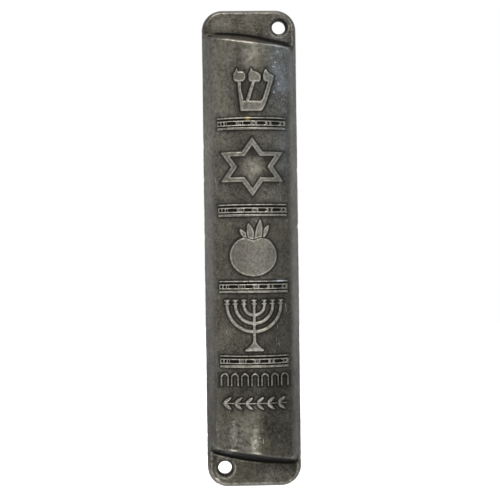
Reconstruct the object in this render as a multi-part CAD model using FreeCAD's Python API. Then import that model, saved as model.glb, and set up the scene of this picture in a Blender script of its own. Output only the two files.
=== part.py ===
import FreeCAD, Part

import math
import os

# Cast mezuzah case with a push-fit back cover and a wrapped parchment scroll, in millimetres.
# The frame: +Z runs up the case, the front faces -Y, and the wall plane is y = 0. The origin is the
# middle of the wall face. "Height" below always means the distance out from the wall, towards -Y.

# ---- driving dimensions of the casting ----
LENGTH = 120.0
WIDTH = 23.8
CORNER_RADIUS = 5.2
DRAFT = 0.30  # how far a cast wall leans in for each millimetre of height
TAB_HEIGHT = 2.6
CROWN_HEIGHT = 11.5
DOME_RADIUS = 14.1
WALL = 1.9
RELIEF = 0.5  # how far the ornaments stand out from the dome

# The raised body ends in a slanting, slightly bowed line at each end. These are its z at the tab's
# face, at the left edge, middle and right edge of the upper end; the lower end is the same line
# turned half a turn.
END_LINE_LEFT, END_LINE_MIDDLE, END_LINE_RIGHT = 53.8, 53.05, 50.5

# ---- nail holes, one in each tab, on opposite sides ----
NAIL_HOLES = ((7.45, 55.4), (-7.45, -54.95))
NAIL_HOLE_RADIUS = 1.7
COUNTERSINK_RADIUS, COUNTERSINK_DEPTH = 2.35, 0.5

# ---- cavity, and the rebate that the cover sits in ----
CAVITY_HALF_WIDTH, CAVITY_HALF_LENGTH = 9.2, 47.6
CAVITY_CORNER = 1.6
REBATE_STEP = 0.9  # width of the ledge that the cover rests on
REBATE_DEPTH = 1.3
NOTCH_RADIUS = 3.4  # fingernail notch at the lower end of the rebate

# ---- back cover ----
COVER_RECESS = 0.2  # the cover lies this far inside the wall plane
COVER_GAP = 0.12  # clearance all round it
LEDGE_GAP = 0.02
SKIRT_THICKNESS, SKIRT_TOP = 0.8, 3.0
SADDLE_THICKNESS, SADDLE_HALF_WIDTH, SADDLE_TOP = 1.2, 3.4, 3.2
SADDLE_PLACES = (-30.0, -10.0, 10.0, 30.0)
SADDLE_CLEARANCE = 0.3
GRIP_GROOVES, GRIP_PITCH, GRIP_DEPTH = 5, 1.4, 0.3
GRIP_LENGTH, GRIP_WIDTH = 9.0, 0.6
GRIP_START = 5.0  # from the cavity's lower end to the first groove

# ---- scroll ----
SCROLL_HEIGHT = 5.0  # of the roll's axis
PARCHMENT_LENGTH, PARCHMENT_THICKNESS = 70.0, 0.20
PARCHMENT_INNER, PARCHMENT_PITCH, PARCHMENT_TURNS = 1.0, 0.32, 5.5
SLEEVE_LENGTH, SLEEVE_THICKNESS, SLEEVE_GAP = 76.0, 0.10, 0.08
TAPE_LENGTH, TAPE_ANGLE, TAPE_THICKNESS = 34.0, 70.0, 0.08

# ---- ornaments: heights up the case, all centred across it ----
BAND_PLACES = (30.5, 9.3, -9.4, -27.65)
BAND_HALF_LENGTH = 8.4
LETTER_BASE_Z = 33.5
STAR_Z, STAR_RADIUS, STAR_STRETCH, STAR_STROKE = 19.95, 7.3, 1.22, 1.05
FRUIT_Z, FRUIT_HALF_WIDTH, FRUIT_HALF_HEIGHT = -1.75, 5.75, 5.1
FRUIT_DIP, FRUIT_DIP_TURN = 1.35, 24.3  # depth of the dent under the crown, its half-width in degrees
CROWN_SINK = 0.6  # how far the crown's leaves start below the bottom of the dent
LAMP_ARC_Z, LAMP_STROKE = -13.8, 0.74
LAMP_RADII = (2.5, 4.55, 6.55)
ARCADE_BASE_Z, ARCADE_ARCHES, ARCADE_PITCH = -33.65, 7, 2.45
SPRIG_Z, SPRIG_HALF_LENGTH, SPRIG_LEAVES = -37.9, 7.9, 6

RELIEF_ROOT = 6.0  # ornaments are made from this height out, so that they run into the dome
DOME_AXIS_HEIGHT = CROWN_HEIGHT - DOME_RADIUS
SCROLL_RADIUS = PARCHMENT_INNER + PARCHMENT_PITCH * PARCHMENT_TURNS + PARCHMENT_THICKNESS


# ---- points, wires and simple solids ----
def at(x, z, height):
    """The point x across and z up the case, at a height out from the wall."""
    return FreeCAD.Vector(x, -height, z)


def outwards(distance):
    return FreeCAD.Vector(0, -distance, 0)


def line(p, q):
    return Part.LineSegment(p, q).toShape()


def arc(p, middle, q):
    return Part.Arc(p, middle, q).toShape()


def rounded_outline(half_width, half_length, radius, height):
    """A rectangle with round corners, as a wire at one height."""
    a, b = half_width - radius, half_length - radius
    edges = []
    for k, (cx, cz) in enumerate(((a, b), (-a, b), (-a, -b), (a, -b))):
        turn = math.pi / 2 * k
        start, middle, end = [
            at(cx + radius * math.cos(turn + t), cz + radius * math.sin(turn + t), height)
            for t in (0, math.pi / 4, math.pi / 2)
        ]
        if edges:
            edges.append(line(edges[-1].lastVertex().Point, start))
        edges.append(arc(start, middle, end))
    edges.append(line(edges[-1].lastVertex().Point, edges[0].firstVertex().Point))
    return Part.Wire(edges)


def loft(*wires):
    return Part.makeLoft(list(wires), True, True)


def drafted_block(half_width, half_length, radius, low, high, draft=DRAFT):
    """A block with round corners from one height to another, which narrows on its way out.
    half_width and half_length are its size at the height low."""
    shrink = draft * (high - low)
    return loft(
        rounded_outline(half_width, half_length, radius, low),
        rounded_outline(
            half_width - shrink, half_length - shrink, max(radius - shrink, 0.3), high
        ),
    )


def rod_along_case(radius, axis_height, z_low, z_high, x=0.0):
    return Part.makeCylinder(
        radius, z_high - z_low, at(x, z_low, axis_height), FreeCAD.Vector(0, 0, 1)
    )


def extruded(wire, low=RELIEF_ROOT, high=CROWN_HEIGHT + 2):
    """The flat shape inside a wire drawn at height 0, as a solid between two heights."""
    face = Part.Face(wire)
    face.translate(outwards(low))
    return face.extrude(outwards(high - low))


def polygon(points, **heights):
    corners = [at(x, z, 0) for x, z in points]
    return extruded(Part.makePolygon(corners + corners[:1]), **heights)


def bar(x0, z0, x1, z1, width):
    """A straight stroke between two points."""
    long = math.hypot(x1 - x0, z1 - z0)
    ox, oz = -(z1 - z0) / long * width / 2, (x1 - x0) / long * width / 2
    return polygon(
        [(x0 + ox, z0 + oz), (x1 + ox, z1 + oz), (x1 - ox, z1 - oz), (x0 - ox, z0 - oz)]
    )


def half_ring(x, z, radius, stroke, upper):
    """Half of a ring, above or below its centre."""
    side = 1 if upper else -1
    inner, outer = radius - stroke / 2, radius + stroke / 2
    edges = [
        arc(at(x - outer, z, 0), at(x, z + side * outer, 0), at(x + outer, z, 0)),
        line(at(x + outer, z, 0), at(x + inner, z, 0)),
        arc(at(x + inner, z, 0), at(x, z + side * inner, 0), at(x - inner, z, 0)),
        line(at(x - inner, z, 0), at(x - outer, z, 0)),
    ]
    return extruded(Part.Wire(edges))


def leaf(x, z, angle, long, wide):
    """A pointed leaf that starts at a point and grows at an angle from the x axis."""
    c, s = math.cos(math.radians(angle)), math.sin(math.radians(angle))

    def spot(along, across):
        return at(x + along * c - across * s, z + along * s + across * c, 0)

    start, tip = spot(0, 0), spot(long, 0)
    edges = [
        arc(start, spot(long / 2, wide / 2), tip),
        arc(tip, spot(long / 2, -wide / 2), start),
    ]
    return extruded(Part.Wire(edges))


# ---- the ornaments, as flat-sided solids that still have to be trimmed to the dome ----
def band(z):
    """An ornamental belt: a thin rail, a strip with a row of slots in it, and a thicker rail."""
    half = BAND_HALF_LENGTH
    rail_top = bar(-half, z + 1.35, half, z + 1.35, 0.32)
    rail_low = bar(-half, z - 1.2, half, z - 1.2, 0.56)
    strip = bar(-half, z + 0.1, half, z + 0.1, 1.3)
    # each slot's start and length along the strip, from its left end
    slots = (
        (0.4, 0.4), (1.2, 0.4), (1.95, 0.3), (2.6, 2.1), (5.05, 0.2), (5.55, 0.2), (6.4, 1.95),
        (8.75, 0.4), (9.7, 2.0), (12.1, 0.7), (13.2, 2.1), (15.7, 0.55),
    )
    cuts = [
        polygon(
            [
                (start - half, z - 0.2),
                (start + long - half, z - 0.2),
                (start + long - half, z + 0.4),
                (start - half, z + 0.4),
            ]
        )
        for start, long in slots
    ]
    return [rail_top, rail_low, strip.cut(cuts)]


def letter_shin():
    """The three-headed letter that marks a mezuzah, drawn plainly: a foot, three stems and heads."""
    foot, knee, top = LETTER_BASE_Z, LETTER_BASE_Z + 2.5, LETTER_BASE_Z + 10.4
    head_low = top - 3.2
    base = polygon([(-2.9, foot), (1.9, foot), (2.8, foot + 0.9), (2.5, knee), (-2.5, knee)])
    stems = [
        polygon([(-2.9, foot), (-2.0, knee), (-2.5, head_low + 0.4), (-3.5, head_low + 0.4)]),
        polygon([(-1.5, knee - 0.2), (-0.6, knee - 0.2), (1.1, head_low + 0.4), (0.2, head_low + 0.4)]),
        polygon([(2.1, foot + 0.3), (5.3, head_low + 0.4), (4.3, head_low + 0.2), (1.9, knee)]),
    ]
    heads = [
        polygon([
            (x - 1.4, head_low + 0.5), (x - 0.9, head_low), (x + 1.0, head_low), (x + 1.5, head_low + 0.6),
            (x + 1.4, top - 1.3 - lean), (x - 0.2, top - 0.8), (x - 0.75, top), (x - 1.4, top - 0.9),
        ])
        for x, lean in ((-2.95, 0.0), (0.75, 0.3), (4.25, 0.6))
    ]
    return [base] + stems + heads


def star_outline(radius):
    """The corners of a six-pointed star, point up and widened sideways."""
    corners = []
    for k in range(12):
        r = radius if k % 2 == 0 else radius / math.sqrt(3)
        turn = math.radians(90 + 30 * k)
        corners.append((STAR_STRETCH * r * math.cos(turn), STAR_Z + r * math.sin(turn)))
    return corners


def star():
    inner_radius = STAR_RADIUS - STAR_STROKE / math.sin(math.radians(30))
    return [polygon(star_outline(STAR_RADIUS)).cut(polygon(star_outline(inner_radius)))]


def fruit_edge(turn):
    """A point on the fruit's outline, this many degrees round from its top."""
    across, up = math.sin(math.radians(turn)), math.cos(math.radians(turn))
    radius = 1 / math.hypot(across / FRUIT_HALF_WIDTH, up / FRUIT_HALF_HEIGHT)
    radius -= FRUIT_DIP * math.exp(-((turn / FRUIT_DIP_TURN) ** 2))
    return at(radius * across, FRUIT_Z + radius * up, 0)


def pomegranate():
    """A round fruit, dented under its four-leaved crown."""
    outline = Part.BSplineCurve()
    outline.interpolate([fruit_edge(turn) for turn in range(-180, 180, 15)], PeriodicFlag=True)
    fruit = extruded(Part.Wire([outline.toShape()]))
    crown_z = FRUIT_Z + FRUIT_HALF_HEIGHT - FRUIT_DIP - CROWN_SINK
    leaves = [
        leaf(x, crown_z, angle, long, wide)
        for x, angle, long, wide in (
            (-1.3, 125, 3.0, 0.9), (-0.35, 104, 4.2, 1.5), (0.95, 78, 5.1, 1.5), (2.0, 58, 3.6, 1.0),
        )
    ]
    return [fruit] + leaves


def candelabrum():
    """A seven-branched lampstand: nested half rings, a stem, a cup on each branch and a foot."""
    arms = [half_ring(0, LAMP_ARC_Z, r, LAMP_STROKE, upper=False) for r in LAMP_RADII]
    stem_foot = LAMP_ARC_Z - 11.0
    stem = bar(0, LAMP_ARC_Z + 1.0, 0, stem_foot, LAMP_STROKE)
    foot = polygon([
        (-2.3, stem_foot - 0.3), (2.3, stem_foot - 0.3), (2.3, stem_foot + 0.2), (1.1, stem_foot + 0.9),
        (0.4, stem_foot + 2.2), (-0.4, stem_foot + 2.2), (-1.1, stem_foot + 0.9), (-2.3, stem_foot + 0.2),
    ])
    cups = []
    for x in (0.0,) + LAMP_RADII + tuple(-r for r in LAMP_RADII):
        for z, half in ((LAMP_ARC_Z + 1.15, 0.75), (LAMP_ARC_Z + 0.3, 0.7)):
            cups.append(bar(x - half, z, x + half, z, 0.28))
        if x:
            cups.append(bar(x, LAMP_ARC_Z - 0.1, x, LAMP_ARC_Z + 1.1, LAMP_STROKE))
    return arms + [stem, foot] + cups


def arcade():
    """A row of small round arches."""
    stroke, radius = 0.38, 0.78
    spring_z = ARCADE_BASE_Z + 2.0
    shapes = []
    for k in range(ARCADE_ARCHES):
        x = (k - (ARCADE_ARCHES - 1) / 2) * ARCADE_PITCH
        shapes.append(half_ring(x, spring_z, radius, stroke, upper=True))
        for side in (-radius, radius):
            shapes.append(bar(x + side, ARCADE_BASE_Z, x + side, spring_z, stroke))
    return shapes


def sprig():
    """A straight twig with paired leaves."""
    shapes = [bar(-SPRIG_HALF_LENGTH, SPRIG_Z, SPRIG_HALF_LENGTH, SPRIG_Z, 0.34)]
    step = 2 * SPRIG_HALF_LENGTH / SPRIG_LEAVES
    for k in range(SPRIG_LEAVES):
        x = -SPRIG_HALF_LENGTH + step * (k + 0.15)
        shapes += [leaf(x, SPRIG_Z + side * 0.35, side * 38, 2.1, 0.8) for side in (1, -1)]
    return shapes


def ornaments():
    shapes = letter_shin() + star() + pomegranate() + candelabrum() + arcade() + sprig()
    for z in BAND_PLACES:
        shapes += band(z)
    return shapes


# ---- the case ----
def raised_outline(height):
    """The raised body's outline at one height: straight sides and slanting, bowed ends."""
    inset = DRAFT * (height - TAB_HEIGHT)
    half = WIDTH / 2 - DRAFT * height
    slope = (END_LINE_RIGHT - END_LINE_LEFT) / WIDTH
    chord_middle = (END_LINE_LEFT + END_LINE_RIGHT) / 2 - inset
    left, right = chord_middle - slope * half, chord_middle + slope * half
    middle = END_LINE_MIDDLE - inset
    return Part.Wire([
        arc(at(-half, left, height), at(0, middle, height), at(half, right, height)),
        line(at(half, right, height), at(half, -left, height)),
        arc(at(half, -left, height), at(0, -middle, height), at(-half, -right, height)),
        line(at(-half, -right, height), at(-half, left, height)),
    ])


def case_outside():
    plate = drafted_block(WIDTH / 2, LENGTH / 2, CORNER_RADIUS, 0, TAB_HEIGHT)
    body = loft(raised_outline(0), raised_outline(CROWN_HEIGHT + 1))
    dome = rod_along_case(DOME_RADIUS, DOME_AXIS_HEIGHT, -LENGTH / 2, LENGTH / 2)
    relief_limit = rod_along_case(
        DOME_RADIUS + RELIEF, DOME_AXIS_HEIGHT, -LENGTH / 2, LENGTH / 2
    )
    first, *others = ornaments()
    relief = first.fuse(others).common(relief_limit)
    return plate.fuse([body.common(dome), relief]).removeSplitter()


def cavity():
    """The hollow behind the dome: the scroll's space, and the rebate for the cover."""
    room = drafted_block(
        CAVITY_HALF_WIDTH, CAVITY_HALF_LENGTH, CAVITY_CORNER, REBATE_DEPTH - 0.1, CROWN_HEIGHT
    )
    vault = rod_along_case(DOME_RADIUS - WALL, DOME_AXIS_HEIGHT, -LENGTH / 2, LENGTH / 2)
    rebate = drafted_block(
        CAVITY_HALF_WIDTH + REBATE_STEP,
        CAVITY_HALF_LENGTH + REBATE_STEP,
        CAVITY_CORNER + REBATE_STEP,
        -1.0,
        REBATE_DEPTH,
        draft=0,
    )
    notch = Part.makeCylinder(
        NOTCH_RADIUS,
        REBATE_DEPTH + 1.0,
        at(0, -CAVITY_HALF_LENGTH - REBATE_STEP, -1.0),
        outwards(1.0),
    )
    return [room.common(vault), rebate, notch]


def nail_hole(x, z):
    bore = Part.makeCylinder(NAIL_HOLE_RADIUS, TAB_HEIGHT + 2, at(x, z, -1.0), outwards(1.0))
    sink = Part.makeCone(
        NAIL_HOLE_RADIUS,
        COUNTERSINK_RADIUS,
        COUNTERSINK_DEPTH,
        at(x, z, TAB_HEIGHT - COUNTERSINK_DEPTH),
        outwards(1.0),
    )
    return bore.fuse(sink)


def case_shell():
    holes = [nail_hole(x, z) for x, z in NAIL_HOLES]
    return case_outside().cut(cavity() + holes)


# ---- the back cover ----
def back_cover():
    plate_top = REBATE_DEPTH - LEDGE_GAP
    inset = REBATE_STEP - COVER_GAP
    plate = drafted_block(
        CAVITY_HALF_WIDTH + inset,
        CAVITY_HALF_LENGTH + inset,
        CAVITY_CORNER + inset,
        COVER_RECESS,
        plate_top,
        draft=0,
    )
    skirt = drafted_block(
        CAVITY_HALF_WIDTH - COVER_GAP,
        CAVITY_HALF_LENGTH - COVER_GAP,
        CAVITY_CORNER,
        plate_top,
        SKIRT_TOP,
    ).cut(
        drafted_block(
            CAVITY_HALF_WIDTH - COVER_GAP - SKIRT_THICKNESS,
            CAVITY_HALF_LENGTH - COVER_GAP - SKIRT_THICKNESS,
            CAVITY_CORNER / 2,
            plate_top,
            SKIRT_TOP,
        )
    )
    cradle = rod_along_case(
        sleeve_outer_radius() + TAPE_THICKNESS + SADDLE_CLEARANCE,
        SCROLL_HEIGHT,
        -LENGTH / 2,
        LENGTH / 2,
    )
    saddles = [
        Part.makeBox(
            2 * SADDLE_HALF_WIDTH,
            SADDLE_TOP - plate_top,
            SADDLE_THICKNESS,
            at(-SADDLE_HALF_WIDTH, z - SADDLE_THICKNESS / 2, SADDLE_TOP),
        ).cut(cradle)
        for z in SADDLE_PLACES
    ]
    grooves = [
        Part.makeBox(
            GRIP_LENGTH,
            GRIP_DEPTH,
            GRIP_WIDTH,
            at(-GRIP_LENGTH / 2, GRIP_START - CAVITY_HALF_LENGTH + k * GRIP_PITCH, COVER_RECESS + GRIP_DEPTH),
        )
        for k in range(GRIP_GROOVES)
    ]
    return plate.fuse([skirt] + saddles).cut(grooves).removeSplitter()


# ---- the scroll ----
def sleeve_inner_radius():
    return SCROLL_RADIUS + SLEEVE_GAP


def sleeve_outer_radius():
    return sleeve_inner_radius() + SLEEVE_THICKNESS


def spiral_edge(first_radius, z):
    """One side of the rolled sheet, as a smooth curve across the end of the roll."""
    steps_per_turn = 16
    points = []
    for k in range(int(PARCHMENT_TURNS * steps_per_turn) + 1):
        turn = 2 * math.pi * k / steps_per_turn
        r = first_radius + PARCHMENT_PITCH * turn / (2 * math.pi)
        points.append(at(r * math.cos(turn), z, SCROLL_HEIGHT + r * math.sin(turn)))
    curve = Part.BSplineCurve()
    curve.interpolate(points)
    return curve.toShape()


def parchment():
    """The parchment sheet, rolled up: a spiral with air between its turns."""
    z = -PARCHMENT_LENGTH / 2
    inside = spiral_edge(PARCHMENT_INNER, z)
    outside = spiral_edge(PARCHMENT_INNER + PARCHMENT_THICKNESS, z)
    wire = Part.Wire([
        inside,
        line(inside.lastVertex().Point, outside.lastVertex().Point),
        outside,
        line(outside.firstVertex().Point, inside.firstVertex().Point),
    ])
    return Part.Face(wire).extrude(FreeCAD.Vector(0, 0, PARCHMENT_LENGTH))


def tube(inner, outer, long, angle=360.0, start=0.0):
    """A tube round the scroll's axis, or a strip of one."""
    z_axis = FreeCAD.Vector(0, 0, 1)
    foot = at(0, -long / 2, SCROLL_HEIGHT)
    ring = Part.makeCylinder(outer, long, foot, z_axis, angle).cut(
        Part.makeCylinder(inner, long, foot, z_axis)
    )
    ring.rotate(foot, z_axis, start)
    return ring


def sleeve():
    return tube(sleeve_inner_radius(), sleeve_outer_radius(), SLEEVE_LENGTH)


def sleeve_tape():
    """The strip of clear tape that closes the sleeve's seam."""
    lift = 0.01
    inner = sleeve_outer_radius() + lift
    return tube(
        inner, inner + TAPE_THICKNESS, TAPE_LENGTH, angle=TAPE_ANGLE, start=90 - TAPE_ANGLE / 2
    )


PARTS = {
    "case_shell": case_shell,
    "back_cover": back_cover,
    "parchment_scroll": parchment,
    "scroll_sleeve": sleeve,
    "sleeve_tape": sleeve_tape,
}

os.makedirs("parts", exist_ok=True)
for name, make in PARTS.items():
    shape = make()
    solids = shape.Solids
    assert shape.isValid() and len(solids) == 1, (name, shape.isValid(), len(solids))
    solids[0].exportStep("parts/" + name + ".step")
    print(name, "volume", round(solids[0].Volume, 1), "faces", len(solids[0].Faces))
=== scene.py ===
import math

import bmesh
import bpy
import numpy as np
from mathutils import Matrix, Vector


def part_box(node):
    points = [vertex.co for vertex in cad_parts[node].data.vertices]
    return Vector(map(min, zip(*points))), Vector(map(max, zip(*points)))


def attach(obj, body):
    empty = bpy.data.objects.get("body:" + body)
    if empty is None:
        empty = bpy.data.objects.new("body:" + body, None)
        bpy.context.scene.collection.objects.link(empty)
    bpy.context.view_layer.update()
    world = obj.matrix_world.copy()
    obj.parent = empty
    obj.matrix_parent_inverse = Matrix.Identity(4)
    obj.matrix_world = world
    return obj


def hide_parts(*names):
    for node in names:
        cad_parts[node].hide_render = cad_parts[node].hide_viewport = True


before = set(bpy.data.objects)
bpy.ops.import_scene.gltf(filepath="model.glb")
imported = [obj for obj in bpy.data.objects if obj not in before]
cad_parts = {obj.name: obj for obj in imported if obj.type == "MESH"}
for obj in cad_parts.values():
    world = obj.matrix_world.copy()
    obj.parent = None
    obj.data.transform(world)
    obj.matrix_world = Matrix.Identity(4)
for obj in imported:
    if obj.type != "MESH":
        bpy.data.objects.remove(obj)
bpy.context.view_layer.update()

MM = 0.001

# ---- the casting's proportions in mm: width, length and depth come from the CAD node's box ----
case_low, case_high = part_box("case_shell")
HALF_WIDTH = (case_high.x - case_low.x) / 2 / MM
HALF_LENGTH = (case_high.z - case_low.z) / 2 / MM
DEPTH = (case_high.y - case_low.y) / MM

RELIEF = 0.5
CROWN = DEPTH - RELIEF
DRAFT = 0.30
TAB = 2.6
CORNER = 5.2
DOME_RADIUS = 14.1
NAIL_HOLES = ((7.45, 55.4), (-7.45, -54.95))
NAIL_RADIUS, SINK_RADIUS, SINK_DEPTH = 1.7, 2.35, 0.5
END_MIDDLE, END_SLOPE, END_BOW = 53.05, -0.1385, -0.00728
END_CORNER = 6.0  # how soft the raised body's four corners are
# how soft the tabs' rims, the crown's long edges, its end edges and the foot of each end are
TAB_EDGE, CREST_EDGE, END_EDGE, FOOT = 1.1, 1.6, 0.9, 0.9
GROOVE_DEPTH, GROOVE_WIDTH, GROOVE_OUT = 0.16, 0.26, 0.12  # shallow groove at the foot of each end

CAVITY_WIDTH, CAVITY_LENGTH, CAVITY_CORNER = 9.2, 47.6, 1.6
REBATE_STEP, REBATE_DEPTH = 0.9, 1.3
CAVITY_FLOOR = 1.2
CAVITY_LEAST = 0.6  # least height of the hollow's cutter, still inside the rebate
VAULT_RADIUS, VAULT_EDGE = 12.2, 1.4
NOTCH_RADIUS = 3.4
OVERSHOOT = 1.0  # how far a cutter stands out behind the wall plane

RIM_HEIGHT = 0.02  # the outline's own small height, so that the mesh has no face without area
SPARE = 0.02  # the relief stays this far inside the CAD box
# how far up, and over what lengths, the grid's rows bend to the slanting ends
BEND_START, BEND_RISE, BEND_END, BEND_FALL = 44.0, 5.5, 57.6, 4.6
BEND_LEVEL = 52.15

# unevenness that only takes metal away: depth, wavelength and seed
FACE_UNEVENNESS = ((0.05, 9.0, 3), (0.018, 1.6, 5))
OUTLINE_ROUGHNESS = ((0.03, 1.7, 11), (0.035, 6.5, 17))
NICK_DEPTH, NICK_LENGTH, NICK_SEED = 0.35, 3.4, 23
NICK_START = 0.42  # only the crests above this level make a nick

BAND_PLACES = (30.5, 9.3, -9.4, -27.65)
BAND_HALF = 8.4
BAND_REACH = 1.35  # the ground within this height of a belt's middle is dark between its figures
BAND_SHARPNESS = 1.5  # the belts are cast with crisper edges than the emblems


# ---- soft minimum and maximum, and shapes as signed distances (negative inside, in mm) ----
def smooth_min(a, b, k):
    k = np.maximum(k, 1e-6)
    t = np.maximum(k - np.abs(a - b), 0) / k
    return np.minimum(a, b) - t * t * k / 4


def smooth_max(a, b, k):
    return -smooth_min(-a, -b, k)


def smooth_step(t):
    t = np.clip(t, 0, 1)
    return t * t * (3 - 2 * t)


def near(value, middle, width):
    """1 where the value is at the middle, falling softly to 0 on both sides of it."""
    return np.exp(-(((value - middle) / width) ** 2))


def to_box(x, z, x0, z0, x1, z1, radius=0.0):
    dx = np.abs(x - (x0 + x1) / 2) - (x1 - x0) / 2 + radius
    dz = np.abs(z - (z0 + z1) / 2) - (z1 - z0) / 2 + radius
    return np.hypot(np.maximum(dx, 0), np.maximum(dz, 0)) + np.minimum(np.maximum(dx, dz), 0) - radius


def to_segment(x, z, x0, z0, x1, z1):
    dx, dz = x1 - x0, z1 - z0
    t = np.clip(((x - x0) * dx + (z - z0) * dz) / (dx * dx + dz * dz), 0, 1)
    return np.hypot(x - x0 - t * dx, z - z0 - t * dz)


def to_polygon(x, z, points, rounding=0.0):
    edges = list(zip(points, points[1:] + points[:1]))
    distance = np.min([to_segment(x, z, *p, *q) for p, q in edges], axis=0)
    inside = np.zeros(x.shape, bool)
    for (ax, az), (bx, bz) in edges:
        crosses = (az > z) != (bz > z)
        with np.errstate(divide="ignore", invalid="ignore"):
            at = (bx - ax) * (z - az) / (bz - az) + ax
        inside ^= crosses & (x < at)
    return np.where(inside, -distance, distance) - rounding


def to_leaf(x, z, x0, z0, x1, z1, width):
    """A pointed leaf from its base to its tip, widest a little below the middle."""
    long = math.hypot(x1 - x0, z1 - z0)
    ux, uz = (x1 - x0) / long, (z1 - z0) / long
    along = ((x - x0) * ux + (z - z0) * uz) / long
    across = np.abs(-(x - x0) * uz + (z - z0) * ux)
    t = np.clip(along, 0, 1)
    widest = 0.36
    taper = np.where(t > widest, (t - widest) / (1 - widest), 0.65 * (widest - t) / widest)
    half = width / 2 * (1 - taper**2) ** 0.7
    beyond = np.maximum(np.abs(along - 0.5) - 0.5, 0) * long
    return np.hypot(np.maximum(across - half, 0), beyond) + np.minimum(across - half, 0) * (beyond == 0)


# ---- the ornaments ----
def letter(x, z):
    """The three-headed letter: its heads, its arms and its foot."""
    heads = (
        [(-3.6, 43.95), (-3.95, 43.1), (-4.3, 42.6), (-4.25, 41.3), (-3.8, 40.85), (-2.0, 40.8),
         (-1.5, 41.3), (-1.4, 42.5), (-1.8, 43.05), (-3.1, 43.2)],
        [(0.05, 43.95), (-0.3, 43.3), (-0.65, 42.6), (-0.6, 41.2), (-0.3, 40.75), (1.9, 40.65),
         (2.3, 41.1), (2.35, 42.3), (1.7, 42.9), (0.5, 43.35)],
        [(3.7, 43.85), (3.2, 43.2), (2.9, 42.3), (3.0, 41.3), (3.5, 40.75), (4.1, 40.8), (5.2, 40.4),
         (5.65, 42.2), (4.6, 42.75), (4.05, 43.1)],
    )
    arms = (
        [(-3.38, 41.2), (-2.56, 41.2), (-2.4, 38.5), (-1.85, 36.0), (-2.0, 33.56), (-2.65, 33.56),
         (-3.1, 37.5)],
        [(0.22, 41.0), (1.08, 41.0), (-0.54, 35.8), (-1.49, 35.8)],
        [(4.15, 40.9), (5.25, 40.7), (4.43, 38.0), (3.47, 35.2), (2.69, 33.8), (2.2, 33.56), (1.5, 34.5),
         (2.32, 36.0), (2.72, 36.5), (3.2, 38.0)],
        [(-2.3, 36.0), (2.4, 36.0), (3.0, 34.6), (2.3, 33.56), (-2.65, 33.56)],
    )
    blocks = [to_polygon(x, z, p, 0.05) for p in heads] + [to_polygon(x, z, p) for p in arms]
    return np.min(blocks, axis=0)


STAR_Z, STAR_RADIUS, STAR_STRETCH, STAR_STROKE = 19.95, 7.3, 1.22, 1.05


def star(x, z):
    def corners(radius):
        return [
            (
                STAR_STRETCH * r * math.cos(math.radians(90 + 30 * k)),
                STAR_Z + r * math.sin(math.radians(90 + 30 * k)),
            )
            for k in range(12)
            for r in ((radius, radius / math.sqrt(3))[k % 2],)
        ]

    outer = to_polygon(x, z, corners(STAR_RADIUS))
    return np.maximum(outer, -to_polygon(x, z, corners(STAR_RADIUS - 2 * STAR_STROKE)))


FRUIT_Z, FRUIT_WIDE, FRUIT_HIGH = -1.75, 5.75, 5.1
FRUIT_DIP, FRUIT_DIP_TURN = 1.35, 0.424


def fruit(x, z):
    angle = np.arctan2(x, z - FRUIT_Z)
    across, up = np.sin(angle), np.cos(angle)
    edge = 1 / np.sqrt((across / FRUIT_WIDE) ** 2 + (up / FRUIT_HIGH) ** 2)
    edge -= FRUIT_DIP * np.exp(-((angle / FRUIT_DIP_TURN) ** 2))
    return np.hypot(x, z - FRUIT_Z) - edge


LEAVES = (
    (-0.8, 1.7, -3.3, 4.75, 1.4),
    (-0.1, 1.4, -1.2, 6.15, 1.95),
    (1.0, 1.4, 1.85, 7.0, 1.9),
    (1.45, 1.8, 3.9, 5.65, 1.4),
)


def behind(front, back, gap=0.13):
    """Two shapes of which one is cut back round the other, with a groove between them."""
    return np.minimum(front, np.maximum(back, gap - front))


def pomegranate(x, z):
    outer_left, inner_left, inner_right, outer_right = [to_leaf(x, z, *leaf) for leaf in LEAVES]
    shape = behind(fruit(x, z), inner_right)
    shape = behind(shape, inner_left)
    return behind(shape, np.minimum(outer_left, outer_right))


LAMP_Z, LAMP_STROKE = -13.8, 0.74
LAMP_RADII = (2.5, 4.55, 6.55)
STEM_HALF, RING_HALF = 0.36, 0.72  # half widths of the stem and cups, and of the rings round a cup
RING_LEVELS, RING_HEIGHT = (0.1, 0.95), 0.34
BELL_TOP, BELL_FOOT, FOOT_HALF = -22.4, -24.75, 2.3


def lampstand(x, z):
    """Seven cups on half-round arms, a stem that spreads like a bell, and a flat foot."""
    shapes = []
    for radius in LAMP_RADII:
        arm = np.abs(np.hypot(x, z - LAMP_Z) - radius) - LAMP_STROKE / 2
        shapes.append(np.maximum(arm, z - LAMP_Z))
    for cup in (0.0,) + LAMP_RADII + tuple(-r for r in LAMP_RADII):
        left, right = cup - STEM_HALF, cup + STEM_HALF
        shapes.append(to_box(x, z, left, LAMP_Z - 0.1, right, LAMP_Z + 1.2, 0.05))
        for level in RING_LEVELS:
            low = LAMP_Z + level
            shapes.append(to_box(x, z, cup - RING_HALF, low, cup + RING_HALF, low + RING_HEIGHT, 0.1))
    shapes.append(to_box(x, z, -STEM_HALF, BELL_TOP - 1.0, STEM_HALF, LAMP_Z + 0.4))
    drop = np.clip(BELL_TOP - z, 0, 2.3)
    bell = np.abs(x) - (STEM_HALF + STEM_HALF * drop**2)
    shapes.append(np.maximum(bell, np.maximum(z - BELL_TOP, BELL_FOOT - z)))
    shapes.append(to_box(x, z, -FOOT_HALF, BELL_FOOT - 0.4, FOOT_HALF, BELL_FOOT + 0.15, 0.15))
    return np.min(shapes, axis=0)


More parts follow.
